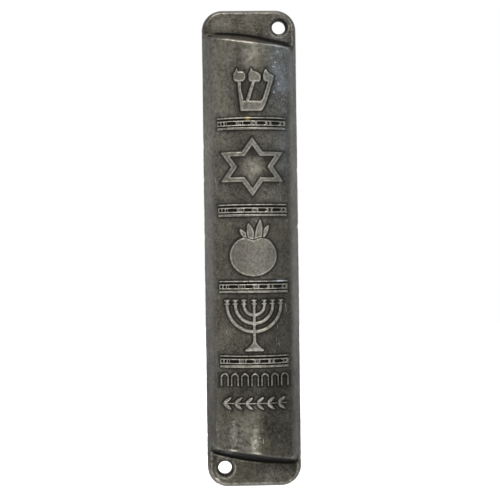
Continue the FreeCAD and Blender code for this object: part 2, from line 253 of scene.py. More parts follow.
def arcade(x, z):
    """A row of seven round arches on posts."""
    pitch, radius, foot, stroke = 2.45, 0.78, -33.65, 0.4
    spring = foot + 2.15
    half_row = pitch * 3.5
    local = (x + half_row) % pitch - pitch / 2
    rib = np.abs(np.hypot(local, z - spring) - radius) - stroke / 2
    arch = np.maximum(rib, spring - z)
    posts = to_box(np.abs(local), z, radius - stroke / 2, foot, radius + stroke / 2, spring, 0.05)
    within = np.abs(x) - half_row
    return np.maximum(np.minimum(arch, posts), within)


SPRIG_Z, SPRIG_HALF, STALK_HALF = -37.9, 7.9, 0.17
SPRIG_LEAVES, LEAF_LONG, LEAF_RISE, LEAF_WIDE = 6, 1.75, 1.35, 0.8


def sprig(x, z):
    """A level stalk with pairs of leaves."""
    shapes = [to_box(x, z, -SPRIG_HALF, SPRIG_Z - STALK_HALF, SPRIG_HALF, SPRIG_Z + STALK_HALF, 0.1)]
    step = 2 * SPRIG_HALF / SPRIG_LEAVES
    for k in range(SPRIG_LEAVES):
        start = -SPRIG_HALF + step * (k + 0.15)
        for side in (1, -1):
            z0 = SPRIG_Z + side * 0.2
            shapes.append(to_leaf(x, z, start, z0, start + LEAF_LONG, z0 + side * LEAF_RISE, LEAF_WIDE))
    return np.min(shapes, axis=0)


# the strip's slots: each one's start and end from the strip's left end, and how far its right end
# comes to a point
SLOTS = (
    (0.32, 0.72, 0.0), (1.1, 1.52, 0.0), (1.84, 2.1, 0.0), (2.4, 4.55, 0.1), (4.92, 5.06, 0.0),
    (5.36, 5.5, 0.0), (5.8, 6.0, 0.0), (6.35, 8.3, 0.45), (8.66, 8.8, 0.0), (9.1, 9.24, 0.0),
    (9.75, 11.8, 0.25), (13.28, 15.45, 0.6), (15.78, 16.3, 0.3),
)
SLOT_LOW, SLOT_HIGH = -0.27, 0.4
HOURGLASS, HOURGLASS_UP, HOURGLASS_HALF = 12.52, 0.06, 0.33
# lower and upper edges of the belt's two rails and of the strip between them
UPPER_RAIL, LOWER_RAIL, STRIP = (1.17, 1.53), (-1.5, -0.88), (-0.62, 0.72)


def slot_shape(x, up, start, end, point):
    middle, half = (SLOT_LOW + SLOT_HIGH) / 2, (SLOT_HIGH - SLOT_LOW) / 2
    lean = point * np.abs(up - middle) / half
    return np.maximum(np.abs(up - middle) - half, np.maximum(start - x, x - end + lean))


def band(x, z, middle):
    up = z - middle
    rails = np.minimum(
        to_box(x, up, -BAND_HALF, UPPER_RAIL[0], BAND_HALF, UPPER_RAIL[1], 0.1),
        to_box(x, up, -BAND_HALF, LOWER_RAIL[0], BAND_HALF, LOWER_RAIL[1], 0.15),
    )
    strip = to_box(x, up, -BAND_HALF, STRIP[0], BAND_HALF, STRIP[1], 0.1)
    along = x + BAND_HALF
    holes = [slot_shape(along, up, *slot) for slot in SLOTS]
    from_middle = np.abs(up - HOURGLASS_UP)
    waist = 0.06 + 0.3 * from_middle / HOURGLASS_HALF
    holes.append(np.maximum(np.abs(along - HOURGLASS) - waist, from_middle - HOURGLASS_HALF))
    return BAND_SHARPNESS * np.minimum(rails, np.maximum(strip, -np.min(holes, axis=0)))


def bands(x, z):
    return np.min([band(x, z, middle) for middle in BAND_PLACES], axis=0)


# each ornament: its distance function, and the range of heights up the case that it can touch
ORNAMENTS = (
    (letter, 31.0, 46.0),
    (star, 10.0, 30.0),
    (pomegranate, -9.5, 9.0),
    (lampstand, -27.5, -10.0),
    (arcade, -36.0, -29.5),
    (sprig, -41.5, -35.0),
    (bands, -31.0, 34.0),
)
FAR = 5.0
EDGE = 0.3  # width in plan of an ornament's soft cast edge


def ornament_distance(x, z):
    distance = np.full(x.shape, FAR)
    for shape, low, high in ORNAMENTS:
        touched = (z > low) & (z < high)
        distance[touched] = np.minimum(distance[touched], shape(x[touched], z[touched]))
    return distance


def ornament_profile(distance):
    return smooth_step(0.5 - distance / EDGE)


# ---- the casting's outer surface: its height from the wall at any point of the front ----
def end_line(x):
    """Where the raised body's upper end meets the tab. The lower end is this turned half a turn."""
    return END_MIDDLE + END_SLOPE * x + END_BOW * x * x


def waves(x, z, length, seed):
    """Gentle unevenness between -1 and 1 with about this wavelength."""
    rng = np.random.default_rng(seed)
    total = np.zeros(x.shape)
    for _ in range(6):
        turn, phase = rng.uniform(0, 2 * math.pi, 2)
        k = 2 * math.pi / (length * rng.uniform(0.7, 1.5))
        total += np.sin(k * (x * math.cos(turn) + z * math.sin(turn)) + phase)
    return total / 6


def inward_of_outline(x, z):
    return -to_box(x, z, -HALF_WIDTH, -HALF_LENGTH, HALF_WIDTH, HALF_LENGTH, CORNER)


def surfaces(x, z):
    """Heights of the surfaces that bound the casting: the tabs' plate, the long sides, the crown
    with its long edges, and the upper and the lower end of the raised body."""
    plate = smooth_min(inward_of_outline(x, z) / DRAFT, TAB, TAB_EDGE)
    side = (HALF_WIDTH - np.abs(x)) / DRAFT
    dome = np.sqrt(np.maximum(DOME_RADIUS**2 - x * x, 0)) + CROWN - DOME_RADIUS
    crest = smooth_min(dome, side, CREST_EDGE)
    upper = TAB + (end_line(x) - z) / DRAFT
    lower = TAB + (z + end_line(-x)) / DRAFT
    return plate, side, crest, upper, lower


def away_from_side(side):
    """0 along the casting's long edges, rising to 1 between them."""
    return smooth_step((side - TAB - 1.0) / 4.0)


def outer_height(x, z):
    plate, side, crest, upper, lower = surfaces(x, z)
    ends = np.minimum(upper, lower)
    walls = smooth_min(side, ends, END_CORNER * np.clip((side - TAB) / 2.0, 0, 1))
    body = smooth_min(np.minimum(crest, walls), ends, END_EDGE)
    fillet = FOOT * np.clip(side - TAB, 0, 1)
    height = smooth_max(plate, body, fillet)
    beyond = (ends - TAB) * DRAFT
    height = height - GROOVE_DEPTH * near(beyond, -GROOVE_OUT, GROOVE_WIDTH) * away_from_side(side)
    for depth, length, seed in FACE_UNEVENNESS:
        height = height - depth * (1 + waves(x, z, length, seed)) * np.clip(height / 2, 0, 1)
    return height


def full_height(x, z):
    profile = ornament_profile(ornament_distance(x, z))
    return outer_height(x, z) + (RELIEF - SPARE) * profile


# ---- the mesh of the front: a grid whose rows follow the slanting ends ----
def steps(*stops):
    """Positions from stop to stop, with about the pitch that stands between each pair."""
    values = [stops[0]]
    for start, pitch, end in zip(stops[:-2:2], stops[1:-1:2], stops[2::2]):
        count = max(1, round((end - start) / pitch))
        values += list(start + (end - start) * np.arange(1, count + 1) / count)
    return np.array(values)


def column_places():
    half = steps(0.0, 0.16, 8.7, 0.2, HALF_WIDTH)
    return np.concatenate([-half[:0:-1], half])


END_ROWS, END_PITCH, CORNER_ROWS = 51.9, 0.22, 26
# heights up the case and the row pitches between them: the belts and small ornaments get fine rows
MIDDLE_ROWS = (
    -END_ROWS, 0.2, -49.0, 0.5, -40.4, 0.13, -35.6, 0.3, -34.2, 0.13, -30.6, 0.3, -29.4, 0.1,
    -25.9, 0.18, -12.3, 0.2, -11.2, 0.1, -7.7, 0.2, 7.6, 0.1, 11.1, 0.2, 28.6, 0.1, 32.3, 0.2,
    44.6, 0.5, 49.0, 0.2, END_ROWS,
)


def row_places():
    middle = steps(*MIDDLE_ROWS)
    straight = HALF_LENGTH - CORNER
    end = np.concatenate([
        steps(END_ROWS, END_PITCH, straight)[1:],
        straight + CORNER * np.sin(np.linspace(0, math.pi / 2, CORNER_ROWS)[1:]),
    ])
    return np.concatenate([-end[::-1], middle, end])


def plan_grid():
    """x and z of every grid point, with the rows bent to the slanting ends and round the corners."""
    columns, rows = column_places(), row_places()
    x, z = np.meshgrid(columns, rows)
    reach = smooth_step((np.abs(z) - BEND_START) / BEND_RISE)
    reach *= smooth_step((BEND_END - np.abs(z)) / BEND_FALL)
    shift = np.where(z > 0, end_line(x) - BEND_LEVEL, BEND_LEVEL - end_line(-x))
    z = z + shift * reach
    past = np.clip(np.abs(z) - (HALF_LENGTH - CORNER), 0, CORNER)
    width = HALF_WIDTH - CORNER + np.sqrt(np.maximum(CORNER**2 - past**2, 0))
    x = x * width / HALF_WIDTH
    return x, z


def quads(rows, columns):
    i, j = np.meshgrid(np.arange(rows - 1), np.arange(columns - 1), indexing="ij")
    a = (i * columns + j).ravel()
    return np.stack([a, a + 1, a + columns + 1, a + columns], axis=1)


def new_object(name, data):
    obj = bpy.data.objects.new(name, data)
    bpy.context.scene.collection.objects.link(obj)
    return obj


def mesh_object(name, vertices, faces):
    mesh = bpy.data.meshes.new(name)
    mesh.from_pydata(vertices, [], faces)
    return new_object(name, mesh)


def closed_heightfield(name, x, z, height, base):
    """A solid between the plane at height base and a grid of heights above it."""
    rows, columns = x.shape
    edge = list(range(columns))
    edge += [r * columns + columns - 1 for r in range(1, rows)]
    edge += [(rows - 1) * columns + c for c in range(columns - 2, -1, -1)]
    edge += [r * columns for r in range(rows - 2, 0, -1)]
    top = np.stack([x.ravel(), -height.ravel(), z.ravel()], axis=1)
    rim = top[edge].copy()
    rim[:, 1] = -base
    vertices = np.concatenate([top, rim]) * MM
    faces = [tuple(q) for q in quads(rows, columns)]
    start, count = len(top), len(edge)
    for k in range(count):
        n = (k + 1) % count
        faces.append((edge[k], start + k, start + n, edge[n]))
    faces.append(tuple(range(start + count - 1, start - 1, -1)))
    return mesh_object(name, vertices.tolist(), faces)


def casting_blank():
    x, z = plan_grid()
    height = np.maximum(full_height(x, z), 0.0)
    rough = sum(depth * (1 + waves(x, z, length, seed)) for depth, length, seed in OUTLINE_ROUGHNESS)
    rough += NICK_DEPTH * np.maximum(waves(x, z, NICK_LENGTH, NICK_SEED) - NICK_START, 0)
    edge = np.clip(1 - height / TAB, 0, 1)
    x = x - np.clip(x / 2.0, -1, 1) * rough * edge
    height[0] = height[-1] = RIM_HEIGHT
    height[:, 0] = height[:, -1] = RIM_HEIGHT
    return closed_heightfield("casting", x, z, np.maximum(height, RIM_HEIGHT), 0.0)


# ---- cutters: the hollow, the rebate with its notch, and the nail holes ----
def hollow():
    half_x = steps(0.0, 0.8, 6.8, 0.25, CAVITY_WIDTH)
    half_z = steps(0.0, 1.6, CAVITY_LENGTH - 4.0, 0.3, CAVITY_LENGTH)
    x, z = np.meshgrid(
        np.concatenate([-half_x[:0:-1], half_x]), np.concatenate([-half_z[:0:-1], half_z])
    )
    inward = -to_box(x, z, -CAVITY_WIDTH, -CAVITY_LENGTH, CAVITY_WIDTH, CAVITY_LENGTH, CAVITY_CORNER)
    wall = CAVITY_FLOOR + inward / DRAFT
    vault = np.sqrt(VAULT_RADIUS**2 - x * x) + CROWN - DOME_RADIUS
    height = np.maximum(smooth_min(wall, vault, VAULT_EDGE), CAVITY_LEAST)
    return closed_heightfield("hollow", x, z, height, -OVERSHOOT)


def prism(name, outline, low, high):
    """A solid with this outline, from a list of (x, z), between two heights."""
    count = len(outline)
    vertices = [(x * MM, -h * MM, z * MM) for h in (low, high) for x, z in outline]
    faces = [tuple(range(count))[::-1], tuple(range(count, 2 * count))]
    faces += [(k, (k + 1) % count, count + (k + 1) % count, count + k) for k in range(count)]
    return mesh_object(name, vertices, faces)


def circle(x, z, radius, count=64):
    turns = [2 * math.pi * k / count for k in range(count)]
    return [(x + radius * math.cos(t), z + radius * math.sin(t)) for t in turns]


def rounded_box(half_x, half_z, radius, per_corner=8):
    points = []
    for k, (sx, sz) in enumerate(((1, 1), (-1, 1), (-1, -1), (1, -1))):
        for i in range(per_corner + 1):
            t = math.pi / 2 * (k + i / per_corner)
            points.append((
                sx * (half_x - radius) + radius * math.cos(t),
                sz * (half_z - radius) + radius * math.sin(t),
            ))
    return points


def lathe(name, x, z, profile, count=72):
    """A turned solid round an axis square to the wall, from (radius, height) pairs."""
    vertices, faces = [], []
    for radius, h in profile:
        vertices += [(px * MM, -h * MM, pz * MM) for px, pz in circle(x, z, radius, count)]
    for ring in range(len(profile) - 1):
        for k in range(count):
            n = (k + 1) % count
            a = ring * count
            faces.append((a + k, a + n, a + count + n, a + count + k))
    faces.append(tuple(range(count))[::-1])
    last = (len(profile) - 1) * count
    faces.append(tuple(range(last, last + count)))
    return mesh_object(name, vertices, faces)


def make_normals_consistent(obj):
    bm = bmesh.new()
    bm.from_mesh(obj.data)
    bmesh.ops.recalc_face_normals(bm, faces=bm.faces)
    bm.to_mesh(obj.data)
    bm.free()


def cut(obj, cutters):
    for cutter in cutters:
        make_normals_consistent(cutter)
        change = obj.modifiers.new("cut", "BOOLEAN")
        change.operation, change.solver, change.object = "DIFFERENCE", "EXACT", cutter
    graph = bpy.context.evaluated_depsgraph_get()
    mesh = bpy.data.meshes.new_from_object(obj.evaluated_get(graph))
    obj.modifiers.clear()
    obj.data = mesh
    for cutter in cutters:
        bpy.data.objects.remove(cutter)


def nail_cutter(name, x, z):
    """The hole with its countersink, which flares out above the tab."""
    flare_radius = SINK_RADIUS + 0.35
    profile = [
        (NAIL_RADIUS, -OVERSHOOT),
        (NAIL_RADIUS, TAB - SINK_DEPTH),
        (SINK_RADIUS, TAB),
        (flare_radius, TAB + 0.12),
        (flare_radius + 0.26, TAB + 1.5),
    ]
    return lathe(name, x, z, profile)


def make_casting():
    casting = casting_blank()
    make_normals_consistent(casting)
    outline = rounded_box(
        CAVITY_WIDTH + REBATE_STEP, CAVITY_LENGTH + REBATE_STEP, CAVITY_CORNER + REBATE_STEP
    )
    rebate = prism("rebate", outline, -OVERSHOOT, REBATE_DEPTH)
    notch_outline = circle(0, -CAVITY_LENGTH - REBATE_STEP, NOTCH_RADIUS)
    notch = prism("notch", notch_outline, -OVERSHOOT, REBATE_DEPTH)
    cut(casting, [
        rebate,
        hollow(),
        notch,
        nail_cutter("upper_nail", *NAIL_HOLES[0]),
        nail_cutter("lower_nail", *NAIL_HOLES[1]),
    ])
    return casting


# ---- wear, patina and painted light and shade, as numbers at the casting's points ----
def mesh_points(mesh):
    flat = np.zeros(len(mesh.vertices) * 3, np.float32)
    mesh.vertices.foreach_get("co", flat)
    return flat.reshape(-1, 3).astype(float) / MM


def set_attribute(mesh, name, values):
    layer = mesh.attributes.new(name, "FLOAT", "POINT")
    layer.data.foreach_set("value", np.asarray(values, np.float32))


def spot(x, z, at_x, at_z, wide, high):
    return np.exp(-(((x - at_x) / wide) ** 2) - ((z - at_z) / high) ** 2)


def strongest(x, z, spots):
    """The strongest of several soft spots: strength, place across and up, width and height."""
    return np.max([strength * spot(x, z, *place) for strength, *place in spots], axis=0)


class Measures:
    """What the wear, dirt and painted light and shade follow, measured at each point of the casting's mesh.
    """

    def __init__(self, mesh):
        co = mesh_points(mesh)
        self.x, height, self.z = co[:, 0], -co[:, 1], co[:, 2]
        x, z = self.x, self.z
        self.low = z < 0
        self.distance = ornament_distance(x, z)
        self.profile = ornament_profile(self.distance)
        self.hole = np.min([np.hypot(x - hx, z - hz) for hx, hz in NAIL_HOLES], axis=0)
        self.from_hole_x = x - np.where(self.low, NAIL_HOLES[1][0], NAIL_HOLES[0][0])
        self.from_hole_z = z - np.where(self.low, NAIL_HOLES[1][1], NAIL_HOLES[0][1])
        by_hole = (self.hole < SINK_RADIUS + 0.4) & (height > TAB - SINK_DEPTH - 0.1)
        outer = np.minimum(outer_height(x, z), outer_height(x + 0.25 * np.sign(x), z))
        self.front = ((height > outer - 0.25) & (height > 0.05)) | by_hole

        _, self.side, self.crest, upper, lower = surfaces(x, z)
        self.ends = np.minimum(upper, lower)
        self.beyond = (self.ends - TAB) * DRAFT  # how far up an end face, as seen from the front
        self.on_tab = smooth_step((TAB - self.ends) / 1.0)
        self.wall = smooth_step((self.crest - self.side + 0.6) / 0.9 + 0.5)
        self.away = away_from_side(self.side) * np.where(self.low, 1.0, smooth_step((x + 10.0) / 2.4))
        right_of_middle = smooth_step(x / 4.0) * self.low
        onset = (self.crest - self.ends - 1.5 * right_of_middle) / (1.0 + 3.5 * right_of_middle)
        on_end_face = smooth_step(onset + 0.5) * smooth_step((self.ends - TAB) / 0.6 + 0.6)
        # painted shade: the lower end face, which faces down, is made nearly black
        self.low_end = on_end_face * self.low


# inside the star and between the letter's arms, where the deposit is deepest
DEEP_SPOTS = (
    (0.80, 0.2, 23.9, 1.8, 2.2),
    (0.70, 4.6, 21.9, 2.6, 1.4),
    (0.55, -4.4, 22.1, 2.4, 1.0),
    (0.60, 4.2, 17.9, 2.6, 1.3),
    (0.60, 1.9, 38.2, 1.4, 2.6),
    (0.35, -1.0, 37.5, 0.9, 2.4),
)


def deposit_and_shade(at):
    """Nearly black: patina round the ornaments and in the joint of tab and body, painted shade where that
    joint widens over the upper end face, and a painted shadow on one side of each countersink.
    """
    x, z = at.x, at.z
    in_band = np.min([np.abs(z - middle) for middle in BAND_PLACES], axis=0) < BAND_REACH
    in_band &= np.abs(x) < BAND_HALF
    deep = np.maximum(0.95 * in_band, strongest(x, z, DEEP_SPOTS))
    halo = np.maximum(near(np.maximum(at.distance, 0), 0, 0.42), deep) * (1 - at.profile)
    # painted shade: the joint's dark band widens to the right over the upper end face
    widening = smooth_step((x + 1.0) / 8.0) * (z > 0)
    across_joint = (at.beyond + GROOVE_OUT - 0.66 * widening) / (0.38 + 0.58 * widening)
    joint = np.exp(-(across_joint**4)) * at.away
    # painted shadow: each countersink is darkest on one side, over a little patina
    sink = smooth_step((SINK_RADIUS + 0.1 - at.hole) / 0.4) * np.where(at.low, 0.4, 1.0)
    sink *= 0.3 + 0.7 * smooth_step((at.from_hole_x + 0.6 * at.from_hole_z) / 4.4 + 0.5)
    return np.maximum.reduce([halo, joint, sink])


# painted shade on the ground round the pomegranate, the lampstand and the arches, and a patch beside them
# where less of it is painted
SHADED_GROUND = (
    (0.5, 0, -2.0, 8.5, 7.5),
    (0.5, 0.8, -16.5, 8.0, 6.5),
    (0.75, 0, -34.5, 10.0, 6.5),
)
LIGHTER_GROUND = (-6.0, -21.8, 3.4, 4.0)


def shading(at):
    """Painted shade that fades away from the ornaments, and painted shade on the lower end face."""
    x, z = at.x, at.z
    reach = 2.2 - 0.9 * smooth_step((10.0 - z) / 4.0)
    shade = np.maximum(np.exp(-np.maximum(at.distance, 0) / reach), strongest(x, z, SHADED_GROUND))
    shade = shade * (1 - at.profile) * (1 - 0.8 * spot(x, z, *LIGHTER_GROUND))
    return np.maximum(shade, at.low_end)


def side_edge(at):
    """How dark the long edges are, more so towards both ends."""
    x, z = at.x, at.z
    return np.maximum(
        np.where(x < 0, 0.5, 0.18) * smooth_step((z - 18.0) / 26.0),
        np.where(x < 0, 0.40, 0.48) * smooth_step((-12.0 - z) / 28.0),
    )


UPPER_TAB_DARK_PATCHES = ((0.5, 3.8, 55.6, 3.4, 2.6), (0.7, 8.6, 52.9, 2.6, 1.6))
LOWER_TAB_DARK_PATCH = (-0.5, -56.2, 4.5, 1.8)


def painted_shade_and_patches(at):
    """Darker grey: painted shade over the lower right of the dome and on the long walls, painted shadows
    beside the joints on the tabs, and darker patches on the tabs.
    """
    x, z = at.x, at.z
    # painted shade, darker towards the lower right of the dome
    shade_and_dark_patches = smooth_step((14.0 - z + 1.6 * x) / 56.0) * smooth_step((x + 15.0) / 20.0)
    shade_and_dark_patches *= 1 - 0.75 * spot(x, z, *LIGHTER_GROUND)
    # painted shade on the long walls, darker towards the bottom and the ends
    shade_and_dark_patches = np.maximum(shade_and_dark_patches, at.wall * np.maximum(side_edge(at), smooth_step((4.0 - z) / 44.0)))
    # a painted shadow on the upper tab just above its joint, and darker patches
    tab_darkening = np.maximum(strongest(x, z, UPPER_TAB_DARK_PATCHES), 0.5 * near(at.beyond, -0.8, 0.8))
    shade_and_dark_patches = np.maximum(shade_and_dark_patches, tab_darkening * at.on_tab * (z > 0))
    on_low_tab = at.on_tab * at.low
    shade_and_dark_patches *= 1 - 0.65 * on_low_tab * smooth_step((-at.beyond - 1.0) / 3.0)
    shade_and_dark_patches = np.maximum(shade_and_dark_patches, 0.45 * on_low_tab * spot(x, z, *LOWER_TAB_DARK_PATCH))
    # painted shadow on the lower tab below the lower end face
    by_joint = smooth_step((x + 4.0) / 4.0) * near(at.beyond, -0.8, 1.2)
    return np.maximum(shade_and_dark_patches, 0.85 * on_low_tab * by_joint)


def polish_and_highlight(at):
    """Bright edges, partly polish and partly painted highlight: the ornaments' shoulders, the rims of
    the tabs and holes, and the dome's ends and the lip by the lower joint, which are painted highlights."""
    x, z = at.x, at.z
    shoulder = at.profile * near(at.distance, -0.2, 0.13)
    # painted shade: the shoulders are dimmer towards the right
    shoulder *= 0.75 - 0.35 * smooth_step((x - 1.0) / 6.0)
    shoulder *= 1 - 0.35 * (np.abs(z - STAR_Z) < 9.0)
    # painted highlight along the dome's end edges, strong on the upper end
    ridge = near(at.crest - at.ends, 0.2, 0.8) * smooth_step((at.side - TAB - 2.0) / 4.0)
    ridge *= np.where(at.low, 0.15, 0.7 * smooth_step((x + 7.5) / 3.0))
    tab_rim = 0.34 * near(inward_of_outline(x, z), 1.05, 0.25)
    tab_rim *= smooth_step((TAB - at.ends) / 1.0 + 0.3)
    tab_rim *= np.where(at.low | (x > 0), 1.0, smooth_step((z - 54.5) / 3.0))
    hole_rim = near(at.hole - SINK_RADIUS, 0.24, 0.13)
    # painted highlight on one side of each hole's rim
    hole_rim *= 0.1 + 0.4 * smooth_step((at.from_hole_x - 2.0 * at.from_hole_z) / 6.0 + 0.4)
    # painted highlight along a lip by the lower joint
    lip = 0.42 * near(at.beyond, -0.62, 0.14) * at.low * smooth_step((3.0 - x) / 5.0) * at.away
    return np.maximum.reduce([shoulder, ridge, tab_rim, hole_rim, lip])


SLANT_X, SLANT_Z = -9.6, -57.6  # a short bright scratch across the lower left corner, painted as a highlight


def glints(at):
    """Small highlights, warm ones and cool ones, mostly on the dome's end edges."""
    x, z = at.x, at.z
    on_ridge = near(at.crest - at.ends, np.where(at.low, -1.0, 0.35), 0.55)
    low_glints = np.maximum(near(x, -5.5, 0.8), 0.7 * near(x, 0.1, 1.0))
    high_glints = np.maximum(near(x, -0.6, 1.9), 0.6 * near(x, -5.2, 1.4))
    warm = on_ridge * np.where(at.low, 0.7 * low_glints, high_glints)
    along = 0.85 * (x - SLANT_X) - 0.53 * (z - SLANT_Z)
    across = 0.53 * (x - SLANT_X) + 0.85 * (z - SLANT_Z)
    warm = np.maximum(warm, 0.5 * spot(along, across, 0, 0, 0.9, 0.14))
    cool = on_ridge * near(x, 6.2, 2.0) * (z > 0)
    return warm, np.maximum(cool, 0.8 * spot(x, z, 6.6, -7.95, 1.1, 0.2))


RUBBED_AND_LIT_SPOTS = (
    (1.0, -0.3, -47.0, 1.0, 4.0),
    (0.4, -0.6, -43.0, 1.5, 6.0),
    (0.42, -2.6, -46.0, 2.6, 6.0),
    (0.8, -5.4, -45.5, 0.8, 3.2),
    (0.5, -5.4, 46.5, 1.7, 4.5),
    (0.6, -0.3, 48.0, 2.0, 4.0),
    (0.55, 0.1, 19.7, 2.2, 3.6),
)


def rubbing_and_light(at):
    """Bare metal on the crown, partly worn where hands touch it and partly a painted highlight, and painted
    light along its upper left.
    """
    x, z = at.x, at.z
    # painted light: the upper left of the dome is lighter
    upper_left = 0.34 * smooth_step((-x - 2.5) / 4.5) * smooth_step((z - 2.0) / 34.0)
    rubbed_and_lit = np.maximum(strongest(x, z, RUBBED_AND_LIT_SPOTS), upper_left)
    return rubbed_and_lit * (1 - at.profile) * smooth_step((at.ends - at.crest) / 2.0 + 0.6)


# places of the painted cool reflection, the bright specks and the greenish tarnish, which add up where they
# meet
COOL_SPOTS = ((1.0, 7.4, 44.0, 2.6, 8.0), (0.5, 7.8, 26.0, 1.6, 9.0))
SPECK_SPOTS = (
    (1.0, 6.8, 43.0, 2.4, 7.5), (1.0, -5.0, -45.0, 1.2, 4.0), (1.0, 0.0, -48.0, 2.0, 2.5),
)
VERDIGRIS_SPOTS = ((1.0, -1.0, -47.0, 5.0, 5.0), (1.0, -3.5, -56.5, 3.5, 2.2))
BRASSY_SPOT = (-1.0, 31.75, 0.42, 0.34)


def summed(x, z, spots):
    return sum(strength * spot(x, z, *place) for strength, *place in spots)


def store_wear_and_light(mesh):
    """Write each kind of wear and of painted light and shade on the mesh as an attribute from 0 to 1, on its
    front only.
    """
    at = Measures(mesh)
    x, z = at.x, at.z
    glint, cool_glint = glints(at)
    # painted shade: the raised ornaments are darker towards the right, and also darker on the arches and the
    # sprig
    relief_tone = (1 - 0.46 * smooth_step((x - 1.0) / 6.0)) * (1 - 0.3 * (z < -29.6))
    values = {
        "relief": at.profile * relief_tone,
        "halo": deposit_and_shade(at),
        "shade": shading(at),
        "polish_and_highlight": polish_and_highlight(at),
        "glint": glint,
        "cool_glint": cool_glint,
        "cool": summed(x, z, COOL_SPOTS),
        "edge": at.wall * side_edge(at),
        "specks": summed(x, z, SPECK_SPOTS),
        "verdigris": summed(x, z, VERDIGRIS_SPOTS),
        "low_end": at.low_end,
        "shade_and_dark_patches": painted_shade_and_patches(at),
        "wall": at.wall,
        "rubbed_and_lit": rubbing_and_light(at),
        "brassy": spot(x, z, *BRASSY_SPOT),
    }
    for name, value in values.items():
        set_attribute(mesh, name, np.clip(value, 0, 1) * at.front)
    set_attribute(mesh, "front", at.front.astype(float))


# ---- materials ----
class Nodes:
    """Short calls for building one material's nodes."""

    def __init__(self, name):
        self.material = bpy.data.materials.new(name)
        self.material.use_nodes = True
        self.tree = self.material.node_tree
        self.shader = next(n for n in self.tree.nodes if n.type == "BSDF_PRINCIPLED")
        self.place = self.new("ShaderNodeTexCoord").outputs["Object"]

    def new(self, kind, **settings):
        node = self.tree.nodes.new(kind)
        for key, value in settings.items():
            setattr(node, key, value)
        return node

    def link(self, value, socket):
        if isinstance(value, bpy.types.NodeSocket):
            self.tree.links.new(value, socket)
        else:
            socket.default_value = value

    def attribute(self, name):
        return self.new("ShaderNodeAttribute", attribute_name=name).outputs["Fac"]

    def noise(self, scale, detail, roughness, stretch=None, distortion=0.0):
        node = self.new("ShaderNodeTexNoise")
        place = self.place
        if stretch:
            mapping = self.new("ShaderNodeMapping")
            mapping.inputs["Scale"].default_value = stretch
            self.link(place, mapping.inputs["Vector"])
            place = mapping.outputs["Vector"]
        self.link(place, node.inputs["Vector"])
        node.inputs["Scale"].default_value = scale
        node.inputs["Detail"].default_value = detail
        node.inputs["Roughness"].default_value = roughness
        node.inputs["Distortion"].default_value = distortion
        return node.outputs["Fac"]

    def spread(self, value, low, high, out_low=0.0, out_high=1.0):
        node = self.new("ShaderNodeMapRange", interpolation_type="SMOOTHSTEP")
        self.link(value, node.inputs["Value"])
        for key, number in (("From Min", low), ("From Max", high), ("To Min", out_low), ("To Max", out_high)):
            node.inputs[key].default_value = number
        return node.outputs["Result"]

    def math(self, operation, a, b):
        node = self.new("ShaderNodeMath", operation=operation)
        self.link(a, node.inputs[0])
        self.link(b, node.inputs[1])
        return node.outputs["Value"]

    def times(self, a, b):
        return self.math("MULTIPLY", a, b)

    def plus(self, a, b):
        return self.math("ADD", a, b)

    def mix(self, amount, a, b):
        node = self.new("ShaderNodeMix", data_type="RGBA")
        self.link(amount, node.inputs["Factor"])
        colours = [s for s in node.inputs if s.type == "RGBA"]
        self.link(a, colours[0])
        self.link(b, colours[1])
        return next(s for s in node.outputs if s.type == "RGBA")

    def bump(self, height, strength, distance):
        node = self.new("ShaderNodeBump")
        node.inputs["Strength"].default_value = strength
        node.inputs["Distance"].default_value = distance
        self.link(height, node.inputs["Height"])
        self.link(node.outputs["Normal"], self.shader.inputs["Normal"])

    def set(self, **values):
        for key, value in values.items():
            self.link(value, self.shader.inputs[key.replace("_", " ")])


def grey(level, warmth=0.075):
    """A grey that leans to yellow as it gets warmer: a little more red and much less blue."""
    return (level * (1 + warmth), level, level * (1 - 2.7 * warmth), 1.0)


OLIVE_FILM = (0.060, 0.056, 0.036, 1.0)
VERDIGRIS = (0.050, 0.052, 0.020, 1.0)
COOL_DARK, COOL_LIGHT = (0.07, 0.075, 0.08, 1.0), (0.195, 0.215, 0.24, 1.0)
BRIGHT_SPECK = (0.42, 0.44, 0.46, 1.0)
WARM_GLINT, COOL_GLINT = (0.95, 0.86, 0.74, 1.0), (0.74, 0.84, 0.95, 1.0)
# colour of the painted shade on the lower end face
LOW_END_FACE = (0.0075, 0.008, 0.0095, 1.0)
BRASS = (0.50, 0.36, 0.16, 1.0)
WHITE, EDGE_TINT = (1.0, 1.0, 1.0, 1.0), (0.3, 0.3, 0.3, 1.0)


